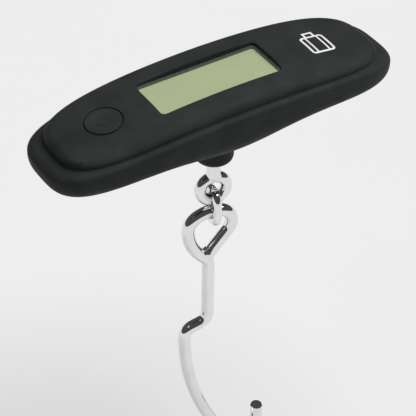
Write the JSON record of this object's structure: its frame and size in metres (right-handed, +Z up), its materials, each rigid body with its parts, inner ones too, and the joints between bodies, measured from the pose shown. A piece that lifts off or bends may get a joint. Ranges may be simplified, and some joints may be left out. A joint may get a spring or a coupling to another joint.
{
  "type": "digital luggage scale",
  "caption": "Handheld digital luggage scale: barrel grip with display and button over a swivelling ring, chain link and bent wire hook.",
  "frame": {"origin": "middle of the hand grip, on the load axis that runs down through the ring and the hook", "axes": "X along the body towards the battery end, Y across it, Z up out of the display"},
  "size_m": [0.128, 0.0374, 0.1734],
  "materials": {
    "shell": "soft-touch matte",
    "lens": "clear acrylic",
    "lcd": "reflective display glass",
    "foil": "diffuse foil",
    "white_plastic": "moulded",
    "zebra": "conductive rubber",
    "cap": "soft-touch matte",
    "black_plastic": "moulded",
    "board": "solder mask",
    "epoxy": "cast epoxy",
    "nickel": "nickel plate",
    "ceramic": "fired ceramic",
    "zinc": "zinc plate",
    "beam": "milled",
    "gauge": "polyimide film",
    "lead_red": "wire insulation",
    "brass_washer": "turned",
    "chrome": "mirror chrome plate",
    "lead_black": "wire insulation"
  },
  "bodies": {
    "root": {"top_cover": "shell", "bottom_shell": "shell", "display_lens": "lens", "lcd_glass": "lcd", "lcd_reflector": "foil", "lcd_holder": "white_plastic", "zebra_strips": "zebra", "tact_switch": "black_plastic", "circuit_board": "board", "controller_blob": "epoxy", "amplifier_chip": "epoxy", "crystal": "nickel", "board_parts": "ceramic", "board_screws": "zinc", "load_cell": "beam", "strain_gauges": "gauge", "load_cell_wires": "lead_red", "spacer_plate": "zinc", "load_cell_screws": "zinc", "thrust_washer": "brass_washer", "coin_cell": "nickel", "contact_positive": "nickel", "contact_negative": "nickel", "battery_wires": "lead_black", "case_screws": "zinc"},
    "button": {"power_button": "cap"},
    "plunger": {"switch_plunger": "black_plastic"},
    "eye": {"eye_bolt": "chrome", "lock_nut": "zinc"},
    "link": {"link": "chrome"},
    "hook": {"hook": "chrome"},
    "door": {"battery_door": "shell"}
  },
  "joints": [
    {"name": "button_press", "type": "slide", "parent": "root", "child": "button", "axis": [0, 0, -1], "range_m": [0, 0.0005], "stiffness_N_per_m": 2000},
    {"name": "plunger_press", "type": "slide", "parent": "root", "child": "plunger", "axis": [0, 0, -1], "range_m": [0, 0.0005]},
    {"name": "eye_swivel", "type": "hinge", "parent": "root", "child": "eye", "pos_m": [0, 0, -0.033], "axis": [0, 0, 1], "continuous": true},
    {"name": "link_swing", "type": "hinge", "parent": "eye", "child": "link", "pos_m": [0, 0, -0.0395], "axis": [0.9848, -0.1736, 0], "range_deg": [-80, 80]},
    {"name": "hook_swing", "type": "hinge", "parent": "link", "child": "hook", "pos_m": [0, 0, -0.04835], "axis": [0.1736, 0.9848, 0], "range_deg": [-22, 22]},
    {"name": "door_release", "type": "slide", "parent": "root", "child": "door", "axis": [0, 0, -1], "range_m": [0, 0.012]}
  ],
  "couplings": [
    {"joint": "plunger_press", "follows": "button_press", "ratio": 1}
  ]
}
